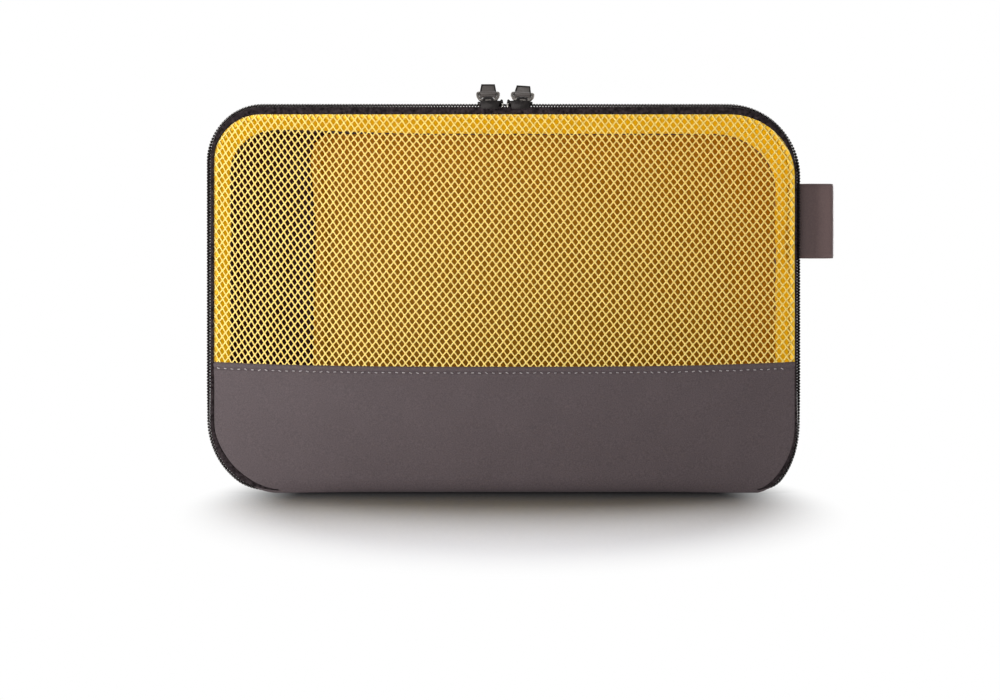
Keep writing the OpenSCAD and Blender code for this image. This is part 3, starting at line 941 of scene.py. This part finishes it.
def in_metres(points):
    """Points of an outline that are given in millimetres."""
    return [(a * MM, b * MM) for a, b in points]


def mirrored(half):
    """A closed outline in metres from its right half in millimetres, low end first."""
    return in_metres(half) + in_metres([(-a, b) for a, b in half[::-1]])


SLIDER_L = 15.5 * MM
SLIDER_HALF_W = 5.0 * MM
# Levels of the top plate's two faces above the edge of the tapes
PLATE_LOW = 2.3 * MM
PLATE_TOP = 3.5 * MM
# How far the bridge sits behind the middle of the slider
BRIDGE_BACK = 1.5 * MM


def shield(length, half):
    """Outline of a slider's plate: broad shoulders at the notched nose, narrower at the tail."""
    side = [(-0.5, 0.62), (0.05, 0.94), (0.34, 1.0), (0.5, 0.55)]
    low = [(a * length, -b * half) for a, b in side]
    high = [(a * length, b * half) for a, b in side[::-1]]
    notch = (length / 2 - 0.9 * MM, 0.0)
    return round_path([*low, notch, *high], 1.0 * MM, 4)


def slider_lips():
    """Lips turned down from the top plate, in front of the coils and behind them."""
    lips = []
    for front, rear, low in ((-7.3 * MM, -6.2 * MM, -1.3 * MM), (4.0 * MM, 5.0 * MM, 0.4 * MM)):
        outline = [(-5.4 * MM, low), (4.6 * MM, low), (5.6 * MM, PLATE_TOP), (-6.2 * MM, PLATE_TOP)]
        lips.append(upright_plate(round_path(outline, 0.6 * MM, 4), front, rear))
    return lips


def slider_bridge():
    """Bridge over the top plate, which holds the pull's ring."""
    legs = [(-2.9, 2.6), (-2.7, 5.2), (-1.4, 5.9), (1.4, 5.9), (2.7, 5.2), (2.9, 2.6)]
    path = [(a - BRIDGE_BACK, 0, b) for a, b in in_metres(legs)]
    return tube(round_path(path, 0.5 * MM, 4, closed=False), 1.15 * MM, 12)


def slider_crest():
    """Raised crest across the nose."""
    foot = PLATE_TOP - 0.1 * MM
    crest = [(0.3, 0.0), (0.5, 1.3), (1.2, 1.7), (1.9, 1.2), (2.4, 0.6), (5.2, 0.4), (5.6, 0.0)]
    outline = [(SLIDER_L / 2 - a, foot + b) for a, b in in_metres(crest)]
    return upright_plate(outline, -2.6 * MM, 2.6 * MM)


def slider(name, x, facing):
    """A slider at x on the top run, its nose towards mid-width; facing is 1 where that is +X."""
    plate = shield(SLIDER_L, SLIDER_HALF_W)
    top = prism(plate, PLATE_LOW, PLATE_TOP)
    under = prism([(0.94 * a, 0.86 * b) for a, b in plate], -2.3 * MM, -1.1 * MM)
    ledge = rectangle(-6.2 * MM, 5.4 * MM, -7.2 * MM, -4 * MM, 0.8 * MM, 4)
    shelf = prism(ledge, PLATE_LOW + 0.1 * MM, PLATE_TOP - 0.05 * MM)
    strip = in_metres([(1, -0.4), (6, -0.4), (6, 0.4), (1, 0.4)])
    web = prism(strip, -1.2 * MM, PLATE_LOW + 0.1 * MM)
    places, faces = join([top, under, *slider_lips(), shelf, web, slider_bridge(), slider_crest()])
    places[:, 0] = places[:, 0] * facing + x
    if facing < 0:
        faces = [face[::-1] for face in faces]
    places[:, 1] += CHAIN_Y
    places[:, 2] += TOP
    return bevelled(mesh_object(name, places, faces), 0.22 * MM)


def slider_post(name, x, facing):
    """Post at the nose that parts the two coils."""
    radii = np.array([0.5, 0.8, 0.8, 0.5]) * MM
    places, faces = tube([(0, 0, k * MM) for k in (-1.2, -1.0, 2.2, 2.4)], radii, 12)
    nose = x + facing * (SLIDER_L / 2 - 0.7 * MM)
    return mesh_object(name, places + np.array([nose, CHAIN_Y - 4.2 * MM, TOP]), faces)


def pull_ring():
    """Wire ring with sloping shoulders."""
    corners = [(a, 0, b) for a, b in mirrored([(4.7, -0.2), (6.2, 2.4), (6.2, 4.9)])]
    return tube(round_path(corners, 0.6 * MM, 5), 0.85 * MM, closed=True)


def pull_tab():
    """Moulded pull: a tapered plate, thicker where it holds the ring, with an arch cut into its foot."""
    plate = mirrored([(1.4, 2.15), (2.8, 1.95), (3.7, 1.5), (4.25, 0.3), (5.0, 0.5), (5.0, 3.6), (3.6, 10.2)])
    core = upright_plate(round_path(plate, 0.2 * MM, 3), -0.6 * MM, 0.6 * MM)
    across = [(k * 4.7 * MM, 0, 4.4 * MM) for k in (-1.0, -0.97, 0.97, 1.0)]
    knuckle = tube(across, np.array([1.0, 1.3, 1.3, 1.0]) * MM, 14)
    return join([core, knuckle])


def pull_rim():
    """Raised rim round the sides and the end of a pull."""
    outer = mirrored([(4.45, 3.0), (5.3, 3.0), (4.05, 10.6)])
    inner = in_metres([(-3.3, 9.75), (3.3, 9.75)])
    return upright_plate(outer + inner, -0.85 * MM, 0.85 * MM)


def pull_piece(name, shape, x, tilt, lean):
    """A piece drawn upright, tilted in its own plane, leaned back and put on the pull's axis at x."""
    places, faces = shape
    a, b, c = places.T
    a, c = a * math.cos(tilt) + c * math.sin(tilt), c * math.cos(tilt) - a * math.sin(tilt)
    b, c = b * math.cos(lean) + c * math.sin(lean), c * math.cos(lean) - b * math.sin(lean)
    return mesh_object(name, np.stack([a + x, b + pull_axis[1], c + pull_axis[2]], -1), faces)


# Place on the top run, way that the nose faces, and the pull's tilt and lean
SLIDERS = {
    "left": (-7.7 * MM, 1, 0.0, math.radians(25)),
    "right": (9.5 * MM, -1, math.radians(5), math.radians(33)),
}
for side, (slider_x, facing, tilt, lean) in SLIDERS.items():
    body, held = side + "_slider", side + "_pull"
    place = slider_x - facing * BRIDGE_BACK, tilt, lean
    dress(slider(side + "_zip_slider", slider_x, facing), gunmetal, body, [side + "_slider"])
    dress(slider_post(side + "_slider_post", slider_x, facing), post_steel, body)
    ring = pull_piece(side + "_wire_ring", pull_ring(), *place)
    dress(ring, ring_steel, held, [side + "_pull_ring"])
    rim = bevelled(pull_piece(side + "_pull_rim", pull_rim(), *place), 0.15 * MM)
    dress(rim, dark_rim_material, held)
    tab = bevelled(pull_piece(side + "_moulded_pull", pull_tab(), *place), 0.12 * MM)
    dress(tab, pull_coat, held, [side + "_pull_tab"])


def zip_stops(name, y0, y1):
    """Crimped stops at both ends of a coil."""
    outline = rectangle(-0.7 * MM, 0.7 * MM, -2.6 * MM, -0.4 * MM, 0.3 * MM, 3)
    places, faces = prism(outline, y0, y1)
    a, b, y = places.T
    parts = []
    for s in (ZIP_START + STOP_AT, ZIP_STOP - STOP_AT):
        x, z, nx, nz = (float(v) for v in along(s))
        parts.append((np.stack([x + nx * b - nz * a, y, z + nz * b + nx * a], -1), faces))
    return bevelled(mesh_object(name, *join(parts)), 0.15 * MM)


lid_stops = zip_stops("lid_zip_crimps", lid_coil_lo.y, lid_coil_hi.y)
dress(lid_stops, gunmetal, "lid", ["lid_zip_stops"])
case_stops = zip_stops("case_zip_crimps", body_coil_lo.y, body_coil_hi.y)
dress(case_stops, gunmetal, "case", ["body_zip_stops"])


# Side tab

TAB_T = 1.0 * MM
# How far the loop's root is sunk into the seam
TAB_SUNK = 0.6 * MM


def side_loop():
    """Folded webbing loop: both legs leave the seam together, part a little, and meet in a tight fold."""
    reach = tab_hi.x - tab_root[0] + 0.5 * MM
    t = np.linspace(0, 1, 41)
    half = (0.55 + 2.3 * np.sin(math.pi * t**0.9) ** 0.9 + 0.9 * smoothstep(0.55, 0.9, t)) * MM
    half = half * np.sqrt(np.clip(1 - (np.clip(t - 0.9, 0, 1) / 0.1) ** 2, 0, 1))
    x = tab_root[0] - TAB_SUNK + (reach + TAB_SUNK) * t
    front = np.stack([x, tab_root[1] - half], -1)
    rear = np.stack([x, tab_root[1] + half], -1)[::-1]
    line = np.concatenate([front, rear[1:]])
    way = np.gradient(line, axis=0)
    way /= np.maximum(np.linalg.norm(way, axis=1, keepdims=True), 1e-9)
    inward = np.stack([-way[:, 1], way[:, 0]], -1)
    z = np.linspace(tab_lo.z - 0.4 * MM, tab_hi.z, 25)[:, None]
    thin = np.clip(0.35 + np.minimum(z - z[0], z[-1] - z) / (0.8 * MM), 0, 1)
    wave = 0.25 * MM * np.sin(z / (15 * MM))
    layers = []
    for depth in (0.0, 1.0):
        amount = (depth + (0.5 - depth) * (1 - thin)) * TAB_T
        xy = line + inward * amount[..., None]
        layers.append(np.stack(np.broadcast_arrays(xy[..., 0], xy[..., 1] + wave, z), -1))
    ring = np.concatenate([layers[0], layers[1][::-1]])
    return grid_object("webbing_loop", ring, wrap_rows=True)


def tab_tail():
    """Sewn-down end of the webbing on the wall."""
    outline = rectangle(anchor_lo.y, anchor_hi.y, anchor_lo.z, anchor_hi.z, 0.5 * MM, 4)
    places, faces = prism(outline, anchor_lo.x - 0.3 * MM, anchor_hi.x)
    return bevelled(mesh_object("webbing_tail", places[:, [2, 0, 1]], faces), 0.25 * MM)


def tail_stitches():
    """Two rows of stitches that hold the webbing's end on the wall."""
    bars = []
    face = anchor_hi.x + 0.05 * MM
    for y in (anchor_lo.y + 1.4 * MM, anchor_hi.y - 1.4 * MM):
        for z in np.arange(anchor_lo.z + 2.5 * MM, anchor_hi.z - 2 * MM, 3.2 * MM):
            start, end = (face, y, z - 0.9 * MM), (face, y, z + 0.9 * MM)
            bars.append(capsule(start, end, 0.22 * MM, normal=(1, 0, 0)))
    return bars_object("tail_stitches", bars)


dress(tail_stitches(), dark_thread, "case")
dress(side_loop(), webbing, "side_tab", ["side_tab"])
dress(tab_tail(), webbing, "case", ["tab_anchor"])


# Camera, light and floor

CAMERA = (-2.1 * MM, -0.9235, 84.6 * MM)
LENS = 54.1
# Light of the sky, which the camera sees as white
SKY_STRENGTH = 0.13
FLOOR_HALF = 6.0
# Half-extents of the ground where the floor shows real shadow and painted contact shade, and the share of
# them where it starts to fade
SHADE_REACH = (0.184, 0.31, 1.0)
SHADE_FULL = 0.66
# Middle of that ground
SHADE_MIDDLE = (0.004, -0.06, 0.0)
WHITE = (1, 1, 1, 1)

scene = bpy.context.scene
scene.view_settings.view_transform = "Standard"
camera_data = bpy.data.cameras.new("camera")
camera_data.lens = LENS
camera = bpy.data.objects.new("camera", camera_data)
camera.location = CAMERA
camera.rotation_euler = (math.radians(90), 0, 0)
scene.collection.objects.link(camera)
scene.camera = camera


def area_light(name, place, target, size, power):
    """A soft light at a place, turned to a target, that the camera doesn't see."""
    light = bpy.data.lights.new(name, "AREA")
    light.shape = "RECTANGLE"
    light.size, light.size_y = size
    light.energy = power
    lamp = bpy.data.objects.new(name, light)
    lamp.location = place
    way = Vector(target) - Vector(place)
    lamp.rotation_euler = way.to_track_quat("-Z", "Y").to_euler()
    lamp.visible_camera = False
    scene.collection.objects.link(lamp)


def seen_by_camera(tree):
    """1 for what the camera sees, straight or by way of shiny or clear surfaces."""
    rays = node(tree, "LightPath", {})
    seen = math_node(tree, "MAXIMUM", rays.outputs["Is Camera Ray"], rays.outputs["Is Glossy Ray"])
    return math_node(tree, "MAXIMUM", seen, rays.outputs["Is Transmission Ray"])


def set_sky():
    """A dim sky for light, and a white one for the camera."""
    scene.world = bpy.data.worlds.new("world")
    scene.world.use_nodes = True
    tree = scene.world.node_tree
    dim = tree.nodes["Background"]
    dim.inputs["Strength"].default_value = SKY_STRENGTH
    white = node(tree, "Background", {"Color": WHITE, "Strength": 1.0})
    sky = node(tree, "MixShader", {0: seen_by_camera(tree), 1: dim.outputs[0], 2: white.outputs[0]})
    tree.links.new(sky.outputs[0], tree.nodes["World Output"].inputs["Surface"])


def pale_floor():
    """Floor with real shadow and painted contact shade near the object, and white for the camera further off.
    """
    material, tree, shader, output = new_material("pale_floor")
    seen = seen_by_camera(tree)
    place = object_place(tree)
    offset = node(tree, "VectorMath", {0: place, 1: SHADE_MIDDLE}, operation="SUBTRACT").outputs[0]
    scaled = node(tree, "VectorMath", {0: offset, 1: SHADE_REACH}, operation="DIVIDE").outputs[0]
    away = node(tree, "VectorMath", {0: scaled}, operation="LENGTH").outputs["Value"]
    far = node(tree, "MapRange", {0: away, 1: SHADE_FULL, 2: 1.0}, interpolation_type="SMOOTHSTEP").outputs[0]
    # Painted shade: for the camera the floor's colour darkens near the object by its ambient occlusion; other
    # rays see a flat 0.75
    open_sky = node(tree, "AmbientOcclusion", {"Distance": 0.35}, samples=16).outputs["AO"]
    near = node(tree, "MapRange", {0: open_sky, 1: 0.5, 2: 0.92, 3: 0.075, 4: 0.88}).outputs[0]
    shade = node(tree, "Mix", {0: seen, 2: 0.75, 3: near}).outputs[0]
    cool = math_node(tree, "MULTIPLY", shade, 1.04)
    pale = node(tree, "CombineColor", {0: shade, 1: shade, 2: cool}).outputs[0]
    set_inputs(tree, shader, {"Base Color": pale, "Roughness": 0.7, "Specular IOR Level": 0.0})
    glow = node(tree, "Emission", {"Color": WHITE, "Strength": 1.0})
    share = math_node(tree, "MULTIPLY", far, seen)
    mix = node(tree, "MixShader", {0: share, 1: shader.outputs[0], 2: glow.outputs[0]})
    tree.links.new(mix.outputs[0], output.inputs["Surface"])
    return material


area_light("key", (-0.66, -0.75, 0.15), (-0.03, 0, 0.1), (0.4, 0.3), 7.6)
area_light("fill", (-0.1, -1.0, 0.17), (0, 0, 0.1), (0.4, 0.3), 1.7)
area_light("over_back", (0.0, 0.75, 1.35), (0, -0.15, 0), (2.2, 1.0), 24)
area_light("left_rim", (-0.9, 0.6, 0.28), (-0.17, 0, 0.12), (0.5, 0.5), 5.5)
area_light("right_rim", (0.9, 0.6, 0.28), (0.17, 0, 0.12), (0.5, 0.5), 6.2)
set_sky()
floor_corners = [(a * FLOOR_HALF, b * FLOOR_HALF, 0) for a, b in ((-1, -1), (1, -1), (1, 1), (-1, 1))]
floor = dress(mesh_object("floor", floor_corners, [(0, 1, 2, 3)]), pale_floor())
